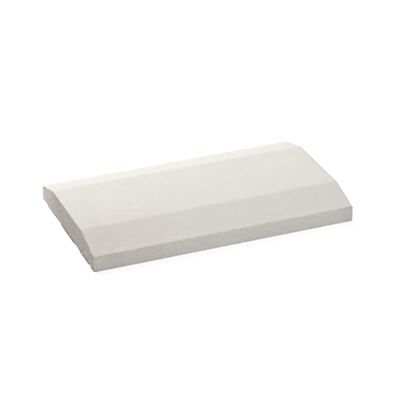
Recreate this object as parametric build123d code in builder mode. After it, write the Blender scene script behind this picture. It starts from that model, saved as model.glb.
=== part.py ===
from build123d import *
import os

# A wall coping: one piece of cast concrete that caps a wall and throws the rain clear of its faces.
# The origin is the middle of the bed, which lies on the wall. X runs along the wall, Y across it, Z up.

# Overall sizes, in millimetres
length = 500
width = 300
fascia_height = 30  # upright long side, from the bed to the eave
crown_height = 50  # from the bed to the flat crown
slope_run = 70  # plan width of each slope, from the eave to the crown

# Arrises, as the mould leaves them
ridge_radius = 6  # where each slope meets the crown
arris_radius = 1.5  # eaves, and both ends down to the bed

# Drip grooves, half round, one under each long side
drip_inset = 25  # from the fascia to the middle of the groove
drip_width = 10
drip_depth = 5

with BuildPart() as coping:
    # Half of the section, mirrored, then run along X
    with BuildSketch(Plane.YZ) as section:
        with BuildLine():
            Polyline(
                (0, 0),
                (width / 2, 0),
                (width / 2, fascia_height),
                (width / 2 - slope_run, crown_height),
                (0, crown_height),
            )
            mirror(about=Plane.YZ)
        make_face()
        ridges = section.vertices().group_by(Axis.Y)[-1]
        fillet(ridges, radius=ridge_radius)
    extrude(amount=length / 2, both=True)

    # Eaves and ends in one pass, so that their arrises meet; the edges of the bed stay sharp
    across = coping.edges().group_by(Axis.X)
    eaves = coping.faces().filter_by(Axis.Y).edges().filter_by(Axis.X)
    arrises = (across[0] + across[-1] + eaves).filter_by(lambda edge: edge.center().Z > 0)
    fillet(arrises, radius=arris_radius)

    # Drip grooves, from one end out through the other
    with BuildSketch(Plane.YZ.offset(-length / 2)):
        with Locations((width / 2 - drip_inset, 0), (drip_inset - width / 2, 0)):
            Ellipse(x_radius=drip_width / 2, y_radius=drip_depth)
    extrude(amount=length, mode=Mode.SUBTRACT)

coping.part.label = "coping"

os.makedirs("parts", exist_ok=True)
export_step(coping.part, "parts/coping.step")
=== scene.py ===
import math
import random

import bmesh
import bpy
from bpy.props import FloatProperty, FloatVectorProperty, IntProperty, PointerProperty
from mathutils import Matrix, Vector


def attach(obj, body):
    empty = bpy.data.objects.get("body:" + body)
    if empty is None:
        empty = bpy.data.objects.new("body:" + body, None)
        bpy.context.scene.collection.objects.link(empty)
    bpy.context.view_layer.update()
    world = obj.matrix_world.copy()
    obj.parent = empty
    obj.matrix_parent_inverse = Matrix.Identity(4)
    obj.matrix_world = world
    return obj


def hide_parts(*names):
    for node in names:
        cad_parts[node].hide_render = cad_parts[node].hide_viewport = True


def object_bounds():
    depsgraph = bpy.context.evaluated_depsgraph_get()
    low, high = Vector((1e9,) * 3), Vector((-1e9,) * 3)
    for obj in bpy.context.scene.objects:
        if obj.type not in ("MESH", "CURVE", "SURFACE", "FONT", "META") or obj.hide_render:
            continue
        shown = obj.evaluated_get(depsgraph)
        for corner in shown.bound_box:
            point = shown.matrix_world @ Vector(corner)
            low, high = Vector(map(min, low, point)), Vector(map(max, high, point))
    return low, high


bl_info = {
    "name": "Wall Coping",
    "version": (1, 0, 0),
    "blender": (4, 5, 0),
    "location": "3D View > Sidebar > Coping",
    "description": "Models a cast concrete wall coping and the studio that it is shown in",
    "category": "Object",
}

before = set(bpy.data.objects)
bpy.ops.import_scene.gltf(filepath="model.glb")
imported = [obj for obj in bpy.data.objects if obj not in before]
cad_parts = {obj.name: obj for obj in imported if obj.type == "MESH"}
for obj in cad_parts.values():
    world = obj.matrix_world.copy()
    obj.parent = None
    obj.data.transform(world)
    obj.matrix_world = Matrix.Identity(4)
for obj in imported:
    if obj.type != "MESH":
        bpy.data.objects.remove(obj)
CAD_LOW, CAD_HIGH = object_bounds()

MM = 0.001
HAIR = 0.01 * MM  # how far two places may differ and still be one
CRUMB = 0.003 * MM  # edges shorter than this are closed up after the cuts
STRAIGHT = 0.999  # share of its length that an edge spans along an axis to count as parallel to it
SHARP = math.radians(45)  # faces that meet at more than this are rounded off
SMOOTH = math.radians(32)  # faces that meet at less than this are shaded as one
WHITE = (1, 1, 1, 1)


# Settings that a user would change


class CopingSizes(bpy.types.PropertyGroup):
    """The section of the coping and its drip grooves."""

    length: FloatProperty(
        name="Length", description="Along the wall", default=CAD_HIGH.x - CAD_LOW.x, unit="LENGTH"
    )
    width: FloatProperty(
        name="Width", description="Across the wall", default=CAD_HIGH.y - CAD_LOW.y, unit="LENGTH"
    )
    crown_height: FloatProperty(
        name="Crown height", description="From the bed to the flat crown", default=CAD_HIGH.z, unit="LENGTH"
    )
    fascia_height: FloatProperty(
        name="Fascia height", description="From the bed to the eave", default=30 * MM, unit="LENGTH"
    )
    slope_run: FloatProperty(
        name="Slope run", description="Plan width of each slope", default=70 * MM, unit="LENGTH"
    )
    ridge_radius: FloatProperty(
        name="Ridge radius", description="Where a slope meets the crown", default=6 * MM, unit="LENGTH"
    )
    arris_radius: FloatProperty(
        name="Arris radius", description="Eaves and the edges of the ends", default=1.5 * MM, unit="LENGTH"
    )
    corner_arris: FloatProperty(
        name="Corner arris", description="The upright corners' radius", default=0.6 * MM, unit="LENGTH"
    )
    bed_arris: FloatProperty(
        name="Bed arris", description="Wear on the edges of the bed", default=0.5 * MM, unit="LENGTH"
    )
    drip_inset: FloatProperty(
        name="Drip inset", description="From the fascia to the drip groove", default=25 * MM, unit="LENGTH"
    )
    drip_width: FloatProperty(
        name="Drip width", description="Across the mouth of the groove", default=10 * MM, unit="LENGTH"
    )
    drip_depth: FloatProperty(
        name="Drip depth", description="From the bed up into the groove", default=5 * MM, unit="LENGTH"
    )


class CopingSurface(bpy.types.PropertyGroup):
    """How far the cast surface departs from the mould's true shape."""

    cell: FloatProperty(
        name="Cell", description="Size of the mesh's faces", default=2.5 * MM, unit="LENGTH"
    )
    sway: FloatProperty(
        name="Sway", description="Long, slow waves of every face", default=0.2 * MM, unit="LENGTH"
    )
    skin: FloatProperty(
        name="Skin", description="Fine unevenness of the moulded faces", default=0.08 * MM, unit="LENGTH"
    )
    end_relief: FloatProperty(
        name="End relief", description="Roughness of the two ends", default=1.1 * MM, unit="LENGTH"
    )
    bed_relief: FloatProperty(
        name="Bed relief", description="Hollows of the trowelled bed", default=2.2 * MM, unit="LENGTH"
    )
    chips: IntProperty(
        name="Chips", description="Small bites out of the arrises", default=110, min=0
    )
    pits: IntProperty(
        name="Pits", description="Open pores in the two ends", default=90, min=0
    )
    air_holes: IntProperty(
        name="Air holes", description="Pin holes in the moulded faces", default=70, min=0
    )
    seed: IntProperty(
        name="Seed", description="Places of the chips, pits and air holes", default=7, min=0
    )


class CopingColours(bpy.types.PropertyGroup):
    """The concrete's colours. The bloom colour is also the painted highlight on the arrises, and the stone
    colour the painted shadow along the left end's foot.
    """

    face: FloatVectorProperty(
        name="Face",
        description="Off-white of the moulded faces",
        subtype="COLOR",
        default=(0.776, 0.752, 0.700),
    )
    end: FloatVectorProperty(
        name="End",
        description="Open, warmer surface of the ends",
        subtype="COLOR",
        default=(0.746, 0.672, 0.609),
    )
    # Also the colour of the painted shadow along the left end's foot
    stone_and_shadow: FloatVectorProperty(
        name="Stone",
        description="Dark grains of the aggregate",
        subtype="COLOR",
        default=(0.300, 0.265, 0.235),
    )
    sand: FloatVectorProperty(
        name="Sand",
        description="Tan patches of sand in the ends",
        subtype="COLOR",
        default=(0.640, 0.500, 0.380),
    )
    # Also the colour of the painted highlight on the left end's upper arris and on the eaves
    bloom_and_highlight: FloatVectorProperty(
        name="Bloom",
        description="Lime on the worn arrises",
        subtype="COLOR",
        default=(0.880, 0.870, 0.840),
    )


class StudioSettings(bpy.types.PropertyGroup):
    """Camera, lights and floor."""

    azimuth: FloatProperty(
        name="Azimuth",
        description="Camera's place round the coping",
        default=math.radians(-21.443),
        unit="ROTATION",
    )
    elevation: FloatProperty(
        name="Elevation",
        description="Camera's height over the floor",
        default=math.radians(27.515),
        unit="ROTATION",
    )
    roll: FloatProperty(
        name="Roll",
        description="Camera's turn about its own axis",
        default=math.radians(0.498),
        unit="ROTATION",
    )
    distance: FloatProperty(
        name="Distance", description="From the camera to the coping", default=3.3557, unit="LENGTH"
    )
    aim_right: FloatProperty(
        name="Aim right",
        description="How far the camera aims beside the bed's middle",
        default=8.0 * MM,
        unit="LENGTH",
    )
    aim_up: FloatProperty(
        name="Aim up",
        description="How far the camera aims above the bed's middle",
        default=18.4 * MM,
        unit="LENGTH",
    )
    lens: FloatProperty(
        name="Lens", description="Focal length", default=162.55, unit="CAMERA"
    )
    ambient: FloatProperty(
        name="Ambient", description="Strength of the light from all round", default=0.396, min=0
    )
    key: FloatProperty(
        name="Key", description="Power of the softbox above and behind", default=37.1, unit="POWER"
    )
    fill: FloatProperty(
        name="Fill", description="Power of the softbox in front", default=9.15, unit="POWER"
    )
    floor_lift: FloatProperty(
        name="Floor lift",
        description="How much whiter the floor looks than it is lit",
        default=0.67,
        min=0,
    )


# Modelling by hand


def make_active(piece):
    """Selects the piece alone, because the frame's own nodes come in selected."""
    if bpy.context.object and bpy.context.object.mode != "OBJECT":
        bpy.ops.object.mode_set(mode="OBJECT")
    bpy.ops.object.select_all(action="DESELECT")
    if piece:
        piece.select_set(True)
        bpy.context.view_layer.objects.active = piece


def select_edges(piece, test):
    """In edit mode, selects the edges of the piece that pass the test, and nothing else."""
    bpy.ops.mesh.select_mode(type="EDGE")
    bpy.ops.mesh.select_all(action="DESELECT")
    mesh = bmesh.from_edit_mesh(piece.data)
    for edge in mesh.edges:
        if test(edge):
            edge.select_set(True)
    mesh.select_flush_mode()
    bmesh.update_edit_mesh(piece.data)


def near(a, b):
    """Whether two lengths are the same."""
    return abs(a - b) < HAIR


def runs_along(edge, axis):
    """Whether the edge lies along X (0), Y (1) or Z (2)."""
    run = edge.verts[1].co - edge.verts[0].co
    return abs(run[axis]) > STRAIGHT * run.length


def middle_of(edge):
    """The place halfway along the edge."""
    return (edge.verts[0].co + edge.verts[1].co) / 2


def add_block(name, low, high):
    """A cube between two corners, with its size and place in its mesh."""
    make_active(None)
    bpy.ops.mesh.primitive_cube_add(size=1, location=(low + high) / 2, scale=high - low)
    bpy.ops.object.transform_apply(location=True, rotation=True, scale=True)
    block = bpy.context.object
    block.name = block.data.name = name
    return block


def draw_down_slopes(block, sizes):
    """Cuts the block's top along both ridges, lowers its outer edges to the eaves, and rounds the ridges.

    Gives the distances from the middle to the inner edge, the middle and the outer edge of a rounded ridge.
    """
    ridge = sizes.width / 2 - sizes.slope_run
    pitch = math.atan2(sizes.crown_height - sizes.fascia_height, sizes.slope_run)
    set_back = sizes.ridge_radius * math.tan(pitch / 2)

    def is_on_top(edge):
        return all(near(vertex.co.z, sizes.crown_height) for vertex in edge.verts)

    def is_eave(edge):
        return is_on_top(edge) and runs_along(edge, 0) and near(abs(middle_of(edge).y), sizes.width / 2)

    def is_ridge(edge):
        return is_on_top(edge) and runs_along(edge, 0)

    for side in (-ridge, ridge):
        select_edges(block, is_on_top)
        bpy.ops.mesh.bisect(plane_co=(0, side, 0), plane_no=(0, 1, 0))
    select_edges(block, is_eave)
    bpy.ops.transform.translate(value=(0, 0, sizes.fascia_height - sizes.crown_height))
    select_edges(block, is_ridge)
    bpy.ops.mesh.bevel(offset=set_back, segments=2, affect="EDGES")
    return ridge - set_back, ridge, ridge + set_back * math.cos(pitch)


def divide(block, sizes, cell, ridge_lines):
    """Cuts every face into cells: at the ridges, along the wall, over the crown, over the slopes, and up."""
    inner, _, outer = ridge_lines
    for line in ridge_lines:
        for side in (-line, line):
            bpy.ops.mesh.select_all(action="SELECT")
            bpy.ops.mesh.bisect(plane_co=(0, side, 0), plane_no=(0, 1, 0))

    def is_along(edge):
        return runs_along(edge, 0)

    def is_over_crown(edge):
        return runs_along(edge, 1) and abs(middle_of(edge).y) < inner

    def is_over_slope(edge):
        return abs(middle_of(edge).y) > outer + HAIR and not runs_along(edge, 0) and not runs_along(edge, 2)

    def is_up(edge):
        return runs_along(edge, 2)

    runs = (
        (is_along, sizes.length),
        (is_over_crown, 2 * inner),
        (is_over_slope, sizes.slope_run),
        (is_up, sizes.fascia_height),
    )
    for test, run in runs:
        select_edges(block, test)
        bpy.ops.mesh.subdivide(number_cuts=round(run / cell) - 1)


def ease_edges(block, sizes):
    """Rounds all arrises at once: fully along the top, less at the upright corners and round the bed."""

    def is_sharp(edge):
        return edge.calc_face_angle(0) > SHARP

    def is_corner(edge):
        return is_sharp(edge) and runs_along(edge, 2)

    def is_bed_arris(edge):
        return is_sharp(edge) and middle_of(edge).z < HAIR

    def is_upper_arris(edge):
        return is_sharp(edge) and not runs_along(edge, 2) and middle_of(edge).z > HAIR

    shares = (
        (is_upper_arris, 1),
        (is_corner, sizes.corner_arris / sizes.arris_radius),
        (is_bed_arris, sizes.bed_arris / sizes.arris_radius),
    )
    for test, share in shares:
        select_edges(block, test)
        bpy.ops.transform.edge_bevelweight(value=share)
    bpy.ops.object.mode_set(mode="OBJECT")
    bpy.ops.object.modifier_add(type="BEVEL")
    rounding = block.modifiers[-1]
    rounding.limit_method = "WEIGHT"
    rounding.width = sizes.arris_radius
    rounding.segments = 3
    rounding.use_clamp_overlap = False
    bpy.ops.object.modifier_apply(modifier=rounding.name)
    bpy.ops.object.mode_set(mode="EDIT")


def halve_end_cells(block, sizes):
    """The ends are rougher than the rest, so their flat parts get smaller cells."""
    end = sizes.length / 2
    select_edges(block, lambda edge: all(near(abs(vertex.co.x), end) for vertex in edge.verts))
    bpy.ops.mesh.subdivide(number_cuts=1)


def weigh(piece, name, weight):
    """A vertex group, with each vertex's weight worked out from its place."""
    group = piece.vertex_groups.new(name=name)
    for vertex in piece.data.vertices:
        group.add([vertex.index], weight(vertex.co), "REPLACE")
    return group.name


def fade(value, none, full):
    """0 at none, 1 at full, and even between them."""
    return max(0.0, min(1.0, (value - none) / (full - none)))


def height_at(sizes, y):
    """Height of the section's top at that place across the wall."""
    rise = (sizes.crown_height - sizes.fascia_height) / sizes.slope_run
    return min(sizes.crown_height, sizes.fascia_height + (sizes.width / 2 - abs(y)) * rise)


def press(piece, name, grain, octaves, depth, group="", direction="NORMAL", flat=0.0):
    """Presses a clouds texture of that grain into the piece. The more flat, the more stays where it is."""
    texture = bpy.data.textures.new(name, "CLOUDS")
    texture.noise_scale = grain
    texture.noise_depth = octaves
    texture.contrast = 1 + 2 * flat
    texture.intensity = 1 + 0.5 * flat
    texture.use_clamp = True
    bpy.ops.object.modifier_add(type="DISPLACE")
    relief = piece.modifiers[-1]
    relief.texture = texture
    relief.texture_coords = "LOCAL"
    relief.strength = depth
    relief.mid_level = 1
    relief.direction = direction
    relief.vertex_group = group
    bpy.ops.object.modifier_apply(modifier=relief.name)


def roughen(piece, sizes, surface):
    """Lets the faces sway, and roughens the ends and the bed. Everything moves inwards."""
    make_active(piece)
    half_length = sizes.length / 2
    half_width = sizes.width / 2
    at_arris = 0.35  # share of the ends' relief that their arrises get

    def end_weight(place):
        """Full on the ends' faces, and less at their arrises, which stay crisp."""
        from_arris = min(height_at(sizes, place.y) - place.z, half_width - abs(place.y), place.z)
        inside = fade(from_arris, 1 * MM, 5 * MM)
        return (at_arris + (1 - at_arris) * inside) * fade(abs(place.x), half_length - 2 * MM, half_length)

    def bed_weight(place):
        """Full on the middle of the bed, and none at its edges, which stay straight."""
        low = fade(place.z, 3 * MM, 0)
        along = fade(abs(place.x), half_length - 2 * MM, half_length - 12 * MM)
        across = fade(abs(place.y), half_width - 4 * MM, half_width - 12 * MM)
        return low * along * across

    end = weigh(piece, "end", end_weight)
    bed = weigh(piece, "bed", bed_weight)
    press(piece, "sway", grain=60 * MM, octaves=1, depth=surface.sway)
    press(piece, "skin", grain=7 * MM, octaves=2, depth=surface.skin)
    press(piece, "end relief", grain=6 * MM, octaves=3, depth=surface.end_relief, group=end, flat=0.8)
    press(piece, "bed relief", 24 * MM, 3, -surface.bed_relief, group=bed, direction="Z", flat=0.8)
    piece.vertex_groups.clear()


def cut_away(piece, cutter):
    """Takes the cutter's shape out of the piece, and removes the cutter."""
    make_active(piece)
    bpy.ops.object.modifier_add(type="BOOLEAN")
    cut = piece.modifiers[-1]
    cut.operation = "DIFFERENCE"
    cut.solver = "MANIFOLD"
    cut.object = cutter
    bpy.ops.object.modifier_apply(modifier=cut.name)
    bpy.data.objects.remove(cutter)


def cut_drip_grooves(piece, sizes):
    """Cuts the two drip grooves with a half-sunk, slightly uneven rod under each long side."""
    overshoot = 10 * MM  # of the rod past both ends together
    unevenness = 0.3 * MM
    for seed, side in enumerate((-1, 1)):
        make_active(None)
        bpy.ops.mesh.primitive_cylinder_add(
            vertices=20,
            radius=1,
            depth=1,
            location=(0, side * (sizes.width / 2 - sizes.drip_inset), 0),
            rotation=(0, math.pi / 2, 0),
            scale=(sizes.drip_depth, sizes.drip_width / 2, sizes.length + overshoot),
        )
        rod = bpy.context.object
        bpy.ops.object.transform_apply(location=True, rotation=True, scale=True)
        bpy.ops.object.mode_set(mode="EDIT")
        select_edges(rod, lambda edge: runs_along(edge, 0))
        bpy.ops.mesh.subdivide(number_cuts=60)
        bpy.ops.mesh.select_all(action="SELECT")
        bpy.ops.transform.vertex_random(offset=unevenness, seed=seed)
        cut_away(piece, rod)


# Where the left end's foot has broken off: middle across the wall, half length
SPALLS = (
    (-52 * MM, 22 * MM),
    (60 * MM, 26 * MM),
    (135 * MM, 16 * MM),
)
SPALL_BITE = 2.6 * MM  # from the end inwards
SPALL_RISE = 6 * MM  # from the bed upwards
FRACTURE = 0.9 * MM  # how far the broken faces depart from smooth

NICK = -31 * MM  # across the wall, on the left end's crown arris
NICK_SIZE = (2.2 * MM, 2.0 * MM, 1.8 * MM)

# Front corners of the foot, broken at the left end and worn at the right: size, and turn in radians
BROKEN_CORNER = ((3.4 * MM, 3.0 * MM, 4.2 * MM), (0.3, 0.2, 0.5))
WORN_CORNER = ((2.6 * MM, 2.2 * MM, 5.0 * MM), (0.2, 0.1, 0.8))

# Hollows where the concrete didn't fill the mould: across the wall, on the left end's foot
FOOT_HOLLOWS = (-130.7 * MM, -110 * MM, -92 * MM, -78 * MM, -2 * MM, 31 * MM, 69 * MM)
FOOT_HOLLOW_SIZE = (1.4 * MM, 2.6 * MM, 1.8 * MM)

# The same on the front fascia: from the right end, height, half length
FASCIA_HOLLOWS = (
    (5 * MM, 5.2 * MM, 1.6 * MM),
    (11 * MM, 2.6 * MM, 3.0 * MM),
    (18 * MM, 5.0 * MM, 2.2 * MM),
    (24 * MM, 1.2 * MM, 2.4 * MM),
    (33 * MM, 3.4 * MM, 1.5 * MM),
)

# Sizes of the scattered damage, in millimetres
LARGEST_CHIP = 2.6
LARGEST_PIT = 2.4
AIR_HOLE_RADII = (0.45, 0.8)

HOLE_SHARES = (6, 2, 1, 2, 6)  # of the air holes, on fascia, slope, crown, slope and fascia
CLEARANCE = 1.3  # room round each lump, as a share of its largest size
KNOBBLE = 0.36  # how far a lump's corners stray, as a share of its smallest size


class Chisel:
    """Gathers the lumps that are struck off, as one mesh, and keeps them clear of each other."""

    def __init__(self):
        make_active(None)
        bpy.ops.object.add(type="MESH", enter_editmode=True)
        self.cutter = bpy.context.object
        self.struck = []

    def strike(self, place, size, turn=(0, 0, 0), detail=2):
        """Adds one knobbly lump, unless it would meet another."""
        reach = CLEARANCE * max(size)
        if any((place - other).length < reach + other_reach for other, other_reach in self.struck):
            return
        self.struck.append((place, reach))
        bpy.ops.mesh.primitive_ico_sphere_add(
            subdivisions=detail, radius=1, location=place, rotation=turn, scale=size
        )
        bpy.ops.transform.vertex_random(offset=KNOBBLE * min(size) / detail ** 2, seed=len(self.struck))


def break_off(piece, sizes):
    """Breaks the left end's foot and both front corners, and nicks the left end's crown arris."""
    left, right = -sizes.length / 2, sizes.length / 2
    front = -sizes.width / 2
    breaks = Chisel()
    for y, half in SPALLS:
        breaks.strike(Vector((left, y, 0)), (SPALL_BITE, half, SPALL_RISE), detail=4)
    breaks.strike(Vector((left, front, 0)), *BROKEN_CORNER, detail=3)
    breaks.strike(Vector((right, front, 0)), *WORN_CORNER, detail=3)
    breaks.strike(Vector((left, NICK, sizes.crown_height)), NICK_SIZE)
    make_active(breaks.cutter)
    press(breaks.cutter, "fracture", grain=4 * MM, octaves=3, depth=FRACTURE)
    cut_away(piece, breaks.cutter)


def scatter_damage(piece, sizes, surface):
    """Opens the hollows, chips the arrises, and scatters pits over the ends and air holes over the rest."""
    left, right = -sizes.length / 2, sizes.length / 2
    half_width = sizes.width / 2
    ridge = half_width - sizes.slope_run
    section = (
        (-half_width, 0),
        (-half_width, sizes.fascia_height),
        (-ridge, sizes.crown_height),
        (ridge, sizes.crown_height),
        (half_width, sizes.fascia_height),
        (half_width, 0),
    )
    sides = list(zip(section, section[1:]))
    arrises = [(Vector((x, *a)), Vector((x, *b))) for x in (left, right) for a, b in sides]
    for corner in section:
        if abs(corner[0]) > ridge:
            arrises.append((Vector((left, *corner)), Vector((right, *corner))))
    lengths = [(stop - start).length for start, stop in arrises]

    draw = random.Random(surface.seed)
    bites = Chisel()
    for y in FOOT_HOLLOWS:
        bites.strike(Vector((left, y, 0)), FOOT_HOLLOW_SIZE)
    for from_right, z, half in FASCIA_HOLLOWS:
        turn = (0, 0.15 * z / MM, 0)  # each lies at its own angle
        bites.strike(Vector((right - from_right, -half_width, z)), (half, 0.5 * half, 0.45 * half), turn)
    for _ in range(surface.chips):
        start, stop = draw.choices(arrises, weights=lengths)[0]
        place = start.lerp(stop, draw.random())
        reach = draw.uniform(0.7, 1.0) ** 4 * LARGEST_CHIP * MM
        size = [reach * draw.uniform(0.6, 1.0) for _ in range(3)]
        bites.strike(place, size, [draw.uniform(0, math.pi) for _ in range(3)])
    for _ in range(surface.pits):
        y = draw.uniform(-0.98, 0.98) * half_width
        place = Vector((draw.choice((left, right)), y, draw.uniform(0.1, 0.93) * height_at(sizes, y)))
        reach = draw.uniform(0.7, 1.0) ** 3 * LARGEST_PIT * MM
        bites.strike(place, (reach * 0.8, reach * draw.uniform(0.7, 1.3), reach * draw.uniform(0.5, 1.0)))
    for _ in range(surface.air_holes):
        (y_start, z_start), (y_stop, z_stop) = draw.choices(sides, weights=HOLE_SHARES)[0]
        share = draw.uniform(0.08, 0.92)
        place = Vector((
            draw.uniform(0.98 * left, 0.98 * right),
            y_start + share * (y_stop - y_start),
            z_start + share * (z_stop - z_start),
        ))
        radius = draw.uniform(*AIR_HOLE_RADII) * MM
        bites.strike(place, (radius, radius, radius))
    cut_away(piece, bites.cutter)


def settle(piece):
    """Splits the many-sided faces that the cuts leave into triangles, and closes up the shortest edges."""
    make_active(piece)
    bpy.ops.object.mode_set(mode="EDIT")
    bpy.ops.mesh.select_mode(type="FACE")
    bpy.ops.mesh.select_all(action="DESELECT")
    bpy.ops.mesh.select_face_by_sides(number=4, type="GREATER")
    bpy.ops.mesh.quads_convert_to_tris(ngon_method="BEAUTY")
    bpy.ops.mesh.select_mode(type="VERT")
    bpy.ops.mesh.select_all(action="SELECT")
    bpy.ops.mesh.remove_doubles(threshold=CRUMB)
    bpy.ops.object.mode_set(mode="OBJECT")


# Shading


class Value:
    """A socket of a shader. Arithmetic on it adds Math nodes."""

    def __init__(self, shader, socket):
        self.shader = shader
        self.socket = socket

    def math(self, operation, *others):
        return self.shader.node("Math", {"operation": operation}, [self, *others])

    def __add__(self, other):
        return self.math("ADD", other)

    def __sub__(self, other):
        return self.math("SUBTRACT", other)

    def __mul__(self, other):
        return self.math("MULTIPLY", other)

    def __rsub__(self, other):
        return self.shader.node("Math", {"operation": "SUBTRACT"}, [other, self])

    __radd__ = __add__
    __rmul__ = __mul__

    def __abs__(self):
        return self.math("ABSOLUTE")

    def least(self, other):
        return self.math("MINIMUM", other)

    def most(self, other):
        return self.math("MAXIMUM", other)


class Shader:
    """A material or world whose nodes are added by one method."""

    def __init__(self, owner):
        owner.use_nodes = True
        self.tree = owner.node_tree
        self.tree.nodes.clear()

    def node(self, kind, settings=None, inputs=None, output=0):
        """Adds a node of that kind, sets it up, fills its sockets and gives one of its outputs."""
        made = self.tree.nodes.new("ShaderNode" + kind)
        for name, value in (settings or {}).items():
            setattr(made, name, value)
        filled = enumerate(inputs) if isinstance(inputs, list) else (inputs or {}).items()
        for name, value in filled:
            if isinstance(value, Value):
                self.tree.links.new(value.socket, made.inputs[name])
            else:
                made.inputs[name].default_value = value
        return Value(self, made.outputs[output]) if made.outputs else made

    def noise(self, place, grain, detail=2.0, roughness=0.5):
        """Even noise about 0, whose lumps are about as large as the grain."""
        inputs = {"Vector": place, "Scale": 1 / grain, "Detail": detail, "Roughness": roughness}
        return self.node("TexNoise", {}, inputs) - 0.5

    def between(self, value, none, full):
        """0 at none, 1 at full, and smooth between them."""
        settings = {"interpolation_type": "SMOOTHSTEP"}
        return self.node("MapRange", settings, {"Value": value, "From Min": none, "From Max": full})

    def mix(self, factor, a, b, blend="MIX"):
        """Mixes two colours."""
        colours = {"data_type": "RGBA", "blend_type": blend}
        return self.node("Mix", colours, {0: factor, 6: a, 7: b}, output=2)

    def looked_at(self):
        """1 where it is looked at, straight or through gloss or glass, and 0 where it only lights things."""
        camera, glossy, transmission = (
            self.node("LightPath", output=f"Is {kind} Ray") for kind in ("Camera", "Glossy", "Transmission")
        )
        return camera.most(glossy).most(transmission)


def rgba(colour):
    """The colour with the fourth value that sockets need."""
    return (*colour, 1.0)


# Stains round the left end: from that end, across the wall, up, radius
TAN_PATCH = (0, 60 * MM, 21 * MM, 8 * MM)
BROWN_CORNER = (0, -150 * MM, 4 * MM, 12 * MM)
RUSTY_FOOT = (0, 118 * MM, 2 * MM, 7 * MM)
WARM_SLOPE = (80 * MM, -120 * MM, 30 * MM, 110 * MM)
CRUMBS = (51 * MM, -141 * MM, 32.5 * MM, 22 * MM)


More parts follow.
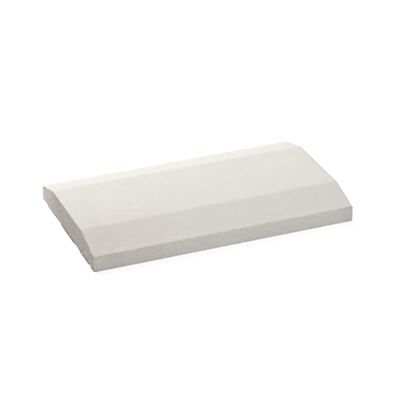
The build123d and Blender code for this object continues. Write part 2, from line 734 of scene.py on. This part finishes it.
def make_concrete(sizes, colours):
    """Off-white cast concrete: smooth moulded faces, open warm ends, pale arrises that are partly lime and
    partly painted highlight, and painted shade along the foot and in the hollows.
    """
    concrete = bpy.data.materials.new("cast concrete")
    s = Shader(concrete)
    place = s.node("TexCoord", output="Object")
    x, y, z = (s.node("SeparateXYZ", {}, {"Vector": place}, output=axis) for axis in "XYZ")

    # How far a point lies inside each plane of the section
    pitch = math.atan2(sizes.crown_height - sizes.fascia_height, sizes.slope_run)
    eave = sizes.width / 2 * math.sin(pitch) + sizes.fascia_height * math.cos(pitch)
    from_left = x + sizes.length / 2
    from_right = sizes.length / 2 - x
    from_end = from_left.least(from_right)
    from_fascia = sizes.width / 2 - abs(y)
    from_slope = eave - abs(y) * math.sin(pitch) - z * math.cos(pitch)
    from_top = from_slope.least(sizes.crown_height - z)
    from_side = from_top.least(from_fascia)
    depth = from_end.least(from_side).least(z)

    # Patterns of the concrete, from slow to fine
    cloud = s.noise(place, 90 * MM, 3)
    blotch = s.noise(place, 20 * MM, 3)
    lump = s.noise(place, 4.5 * MM, 2)
    grain = s.noise(place, 1.5 * MM, 4, 0.75)
    drawn_out = s.node("Mapping", {}, {"Vector": place, "Scale": (0.12, 1, 1)})
    streak = s.noise(drawn_out, 9 * MM, 3, 0.6)
    scratch = s.noise(drawn_out, 2.2 * MM, 2, 0.6)

    # Grains of the aggregate: cells with wandering borders, each with its own kind and bulk
    finely = {"Vector": place, "Scale": 1 / (1.6 * MM), "Detail": 3.0}
    wander = s.node("TexNoise", {}, finely, output="Color")
    stray = (3 * MM, 3 * MM, 3 * MM)
    warped = s.node("VectorMath", {"operation": "MULTIPLY_ADD"}, {0: wander, 1: stray, 2: place})
    cells = {"Vector": warped, "Scale": 1 / (3.2 * MM)}
    from_middle = s.node("TexVoronoi", {}, cells)
    cell_colour = s.node("TexVoronoi", {}, cells, output="Color")
    channels = {"Color": cell_colour}
    kind, bulk = (s.node("SeparateColor", {}, channels, output=name) for name in ("Red", "Green"))
    speck = from_middle * (0.5 + bulk * 0.9)
    is_grain = s.between(speck, 0.42, 0.26)
    dark_grain = s.between(kind, 0.80, 0.86) * is_grain
    pale_grain = s.between(kind, 0.14, 0.10) * is_grain

    def stain(from_left_end, across, up, radius):
        """1 in the middle of a ragged stain, 0 outside it."""
        centre = (from_left_end - sizes.length / 2, across, up)
        away = s.node("VectorMath", {"operation": "DISTANCE"}, {0: place, 1: centre}, output="Value")
        return s.between(away + (lump + blotch) * radius, radius, 0.3 * radius)

    # The bare concrete of the ends and the bed: 1 on it, 0 on the moulded faces
    ragged = lump * (2.4 * MM)
    on_right = s.between(x, -1 * MM, 1 * MM)
    on_left = 1 - on_right
    end = s.between(from_end, 5 * MM, 4 * MM) * s.between(from_side + ragged, 0.2 * MM, 1.3 * MM)
    bed = s.between(z, 3.4 * MM, 2.6 * MM) * s.between(from_fascia.least(from_end), 0.5 * MM, 1.5 * MM)
    bare = end.most(bed)
    upright = s.between(from_fascia.least(from_end), 1.4 * MM, 0.8 * MM)

    # Pale: a painted highlight along the left end's upper arris and in a band near that end, pale patches on
    # the eaves that are partly lime and partly painted highlight, and crumbs of lime on the front slope
    # Painted highlight where the left end's upper arris catches the light
    crest_highlight = s.between(from_left.most(from_top) + blotch * (3 * MM), 1.6 * MM, 0.5 * MM)
    left_end_highlight = s.between(from_left + (blotch + lump) * (5 * MM), 5 * MM, 1 * MM) * (1 - bare)
    left_end_highlight = (left_end_highlight * 0.65).most(crest_highlight * 0.4) * s.between(y, -90 * MM, -75 * MM)
    # Paler patches on the eaves, partly lime and partly a painted highlight where the arris catches the
    # light
    eaves = s.between(from_top.most(from_fascia) + blotch * (9 * MM), 1.5 * MM, 0)
    strip = s.between(abs(from_fascia - 9 * MM), 4 * MM, 2 * MM)
    crumbs = stain(*CRUMBS) * strip * s.between(speck, 0.5, 0.2)

    # Dark: painted contact shade along the foot all round, a painted shadow under the left end's foot,
    # painted shade on the right end's rim, the part that is handled and the lip at the right end, the part
    # near the left end's front, a painted line of shade under the eaves near both ends, and painted shade in
    # the hollows
    # Painted contact shade along the foot all round
    foot = s.between(z + blotch * (4 * MM), 4 * MM, 0.5 * MM)
    # Painted shadow along the left end's foot, where shade falls in the gap under its rough edge
    foot_shadow = s.between(z + (blotch + lump) * (5 * MM), 5.8 * MM, 3.2 * MM)
    foot_shadow = foot_shadow * s.between(y, 90 * MM, 60 * MM) * end * on_left
    # Painted shade on the right end's rounded rim
    right_rim_shade = s.between(from_end.most(from_side) + blotch * (3 * MM), 1.8 * MM, 0.5 * MM) * on_right
    handled = s.between(from_right + blotch * (12 * MM), 36 * MM, 6 * MM)
    lip = s.between(from_right + blotch * (3 * MM), 6 * MM, 3 * MM) * (1 - bare)
    # Darker towards the left end's front, where the foot is darker too
    left_front_darker = s.between(from_left + blotch * (30 * MM), 75 * MM, 35 * MM)
    left_front_darker = left_front_darker * s.between(y, 60 * MM, 0) * (1 - bare)
    # Painted shade: a dark line just under the eaves near both ends
    dark_line = s.between(from_top, 3.4 * MM, 1.8 * MM) * upright * s.between(from_end, 50 * MM, 15 * MM)
    # Painted shade in the hollows, deeper than about a millimetre below the section's planes
    hollow_shade = s.between(depth, 0.5 * MM, 1.4 * MM)

    # Pale: painted light on the back of the left end, painted light low on the fascias against the shade
    # there, and the brim of the slopes
    # Painted light: the left end lighter towards its back, where light comes from behind and to the left
    lit_back_of_end = end * on_left * s.between(y, 50 * MM, 130 * MM)
    # Painted light: the fascias and ends lighter low down, evening out the shade that the floor leaves there
    low = upright * s.between(z, 26 * MM, 4 * MM)
    brim = s.between(from_fascia + blotch * (8 * MM), 16 * MM, 5 * MM) * (1 - upright)

    # Colour
    warm = stain(*WARM_SLOPE)
    sandy = s.between(s.noise(place, 22 * MM, 4, 0.6), 0.07, 0.18) * bare * 0.2
    rusty = stain(*TAN_PATCH).most(stain(*BROWN_CORNER)).most(stain(*RUSTY_FOOT)) * (0.15 + end * 0.30)
    colour = s.mix(bare.most(warm * 0.28), rgba(colours.face), rgba(colours.end))
    colour = s.mix(sandy.most(rusty), colour, rgba(colours.sand))
    colour = s.mix(dark_grain * (0.05 + bare * 0.50), colour, rgba(colours.stone_and_shadow))
    colour = s.mix(pale_grain * (0.05 + bare * 0.45), colour, rgba(colours.bloom_and_highlight))
    # The bloom colour carries the painted highlights at the left end and on the eaves, and the lime crumbs
    colour = s.mix(left_end_highlight.most(eaves * 0.35).most(crumbs * 0.7), colour, rgba(colours.bloom_and_highlight))
    # Paints that shadow along the left end's foot in the stone colour
    colour = s.mix(foot_shadow * 0.92, colour, rgba(colours.stone_and_shadow))

    # How much lighter or darker each place is than its colour
    slow = cloud * 0.06 + blotch * (0.03 + bare * 0.12) + streak * (0.03 * (1 - bare))
    fine = lump * (0.04 + upright * 0.04 + bare * 0.16) + grain * (0.50 + upright * 1.10 + bare * 1.00)
    drawn = scratch * (0.02 + upright * 0.14)
    pale = lit_back_of_end * 0.29 + low * 0.03 + brim * 0.03
    # Darker: painted shade at the foot, in the hollows, on the right end's rim and under the eaves, with
    # real wear and dirt where handled and at the right end's lip, the warm stain and the part near the left
    # front
    worn_and_shaded = foot * (0.12 + left_front_darker * 0.12) + left_front_darker * (0.035 + upright * 0.015)
    worn_and_shaded = worn_and_shaded + handled * (0.015 + upright * 0.065) + lip * 0.06 + right_rim_shade * 0.16
    worn_and_shaded = worn_and_shaded + hollow_shade * (0.15 + foot_shadow * 0.30 + upright * 0.20)
    worn_and_shaded = worn_and_shaded + warm * (0.02 + upright * 0.03) + dark_line * 0.08
    tone = 1 + slow + fine + drawn + pale - worn_and_shaded
    shade = s.node("CombineColor", {}, {"Red": tone, "Green": tone, "Blue": tone})
    colour = s.mix(1.0, colour, shade, "MULTIPLY")

    # Relief too fine for the mesh
    height = grain * (0.13 * MM) + lump * (0.13 * MM)
    height = height + bare * (grain * (0.25 * MM) + lump * (0.4 * MM))
    bump = s.node("Bump", {}, {"Height": height, "Distance": 1.0, "Strength": 0.8})
    finish = {
        "Base Color": colour,
        "Roughness": 0.88 + lump * 0.15,
        "Normal": bump,
        "Specular IOR Level": 0.5,
    }
    s.node("OutputMaterial", {}, {"Surface": s.node("BsdfPrincipled", {}, finish)})
    return concrete


# The stage

FLOOR_SIZE = 12
FLOOR_GREY = (0.62, 0.62, 0.62, 1)
FILM_WIDTH = 36  # of the camera, in millimetres

# Softboxes: place and size
KEY_BOX = ((-0.2, 1.45, 1.55), 1.4)
FILL_BOX = ((0.2, -1.9, 0.4), 1.0)


def make_floor(lift):
    """A pale floor that looks white where it is fully lit, and still shows the coping's shadow."""
    make_active(None)
    bpy.ops.mesh.primitive_plane_add(size=FLOOR_SIZE)
    floor = bpy.context.object
    floor.name = "floor"
    paper = bpy.data.materials.new("floor paper")
    s = Shader(paper)
    lit = s.node("BsdfDiffuse", {}, {"Color": FLOOR_GREY})
    lifted = s.node("Emission", {}, {"Color": WHITE, "Strength": s.looked_at() * lift})
    s.node("OutputMaterial", {}, {"Surface": s.node("AddShader", {}, [lit, lifted])})
    floor.data.materials.append(paper)


def light_world(ambient):
    """Even light from all round, and a white background."""
    world = bpy.data.worlds.new("studio")
    bpy.context.scene.world = world
    s = Shader(world)
    looked_at = s.looked_at()
    strength = looked_at + (1 - looked_at) * ambient
    background = s.node("Background", {}, {"Color": WHITE, "Strength": strength})
    s.node("OutputWorld", {}, {"Surface": background})


def add_softbox(name, place, size, power):
    """A square area light that faces the coping."""
    aim = (-Vector(place)).to_track_quat("-Z", "Y").to_euler()
    bpy.ops.object.light_add(type="AREA", location=place, rotation=aim)
    lamp = bpy.context.object
    lamp.name = name
    lamp.data.shape = "SQUARE"
    lamp.data.size = size
    lamp.data.energy = power


def add_camera(studio):
    """The camera, at the angle from which the coping is shown."""
    around = Matrix.Rotation(studio.azimuth, 3, "Z")
    down = Matrix.Rotation(math.pi / 2 - studio.elevation, 3, "X")
    turn = around @ down @ Matrix.Rotation(-studio.roll, 3, "Z")
    right, up, back = turn.col
    place = right * studio.aim_right + up * studio.aim_up + back * studio.distance
    bpy.ops.object.camera_add(location=place, rotation=turn.to_euler())
    camera = bpy.context.object
    camera.data.lens = studio.lens
    camera.data.sensor_width = FILM_WIDTH
    camera.data.clip_end = 50
    bpy.context.scene.camera = camera


# Operators and panel


class COPING_OT_cast(bpy.types.Operator):
    """Model the coping, with its cast surface and its concrete"""

    bl_idname = "coping.cast"
    bl_label = "Cast the Coping"

    def execute(self, context):
        sizes = context.scene.coping_sizes
        surface = context.scene.coping_surface
        low = Vector((-sizes.length / 2, -sizes.width / 2, 0))
        high = Vector((sizes.length / 2, sizes.width / 2, sizes.crown_height))
        piece = add_block("cast_coping", low, high)
        bpy.ops.object.mode_set(mode="EDIT")
        ridge_lines = draw_down_slopes(piece, sizes)
        divide(piece, sizes, surface.cell, ridge_lines)
        ease_edges(piece, sizes)
        halve_end_cells(piece, sizes)
        roughen(piece, sizes, surface)
        cut_drip_grooves(piece, sizes)
        break_off(piece, sizes)
        scatter_damage(piece, sizes, surface)
        settle(piece)
        bpy.ops.object.shade_smooth_by_angle(angle=SMOOTH)
        piece.data.materials.clear()
        piece.data.materials.append(make_concrete(sizes, context.scene.coping_colours))
        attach(piece, "root")
        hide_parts("coping")
        return {"FINISHED"}


class COPING_OT_stage(bpy.types.Operator):
    """Set up the floor, the lights and the camera"""

    bl_idname = "coping.stage"
    bl_label = "Set the Stage"

    def execute(self, context):
        studio = context.scene.coping_studio
        make_floor(studio.floor_lift)
        light_world(studio.ambient)
        add_softbox("key", *KEY_BOX, studio.key)
        add_softbox("fill", *FILL_BOX, studio.fill)
        add_camera(studio)
        context.scene.view_settings.view_transform = "Standard"
        return {"FINISHED"}


class COPING_PT_panel(bpy.types.Panel):
    """Sizes, surface, colours and studio, with a button for each step"""

    bl_idname = "COPING_PT_panel"
    bl_label = "Wall Coping"
    bl_space_type = "VIEW_3D"
    bl_region_type = "UI"
    bl_category = "Coping"

    def draw(self, context):
        for name, group in GROUPS.items():
            box = self.layout.box()
            for setting in group.__annotations__:
                box.prop(getattr(context.scene, name), setting)
        self.layout.operator(COPING_OT_cast.bl_idname)
        self.layout.operator(COPING_OT_stage.bl_idname)


GROUPS = {
    "coping_sizes": CopingSizes,
    "coping_surface": CopingSurface,
    "coping_colours": CopingColours,
    "coping_studio": StudioSettings,
}
CLASSES = (*GROUPS.values(), COPING_OT_cast, COPING_OT_stage, COPING_PT_panel)


def register():
    """Makes the settings, operators and panel known."""
    for made in CLASSES:
        bpy.utils.register_class(made)
    for name, group in GROUPS.items():
        setattr(bpy.types.Scene, name, PointerProperty(type=group))


def unregister():
    """Takes them away again."""
    for name in GROUPS:
        delattr(bpy.types.Scene, name)
    for made in reversed(CLASSES):
        bpy.utils.unregister_class(made)


def main():
    """Models the coping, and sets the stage."""
    register()
    bpy.ops.coping.cast()
    bpy.ops.coping.stage()


if __name__ == "__main__":
    main()
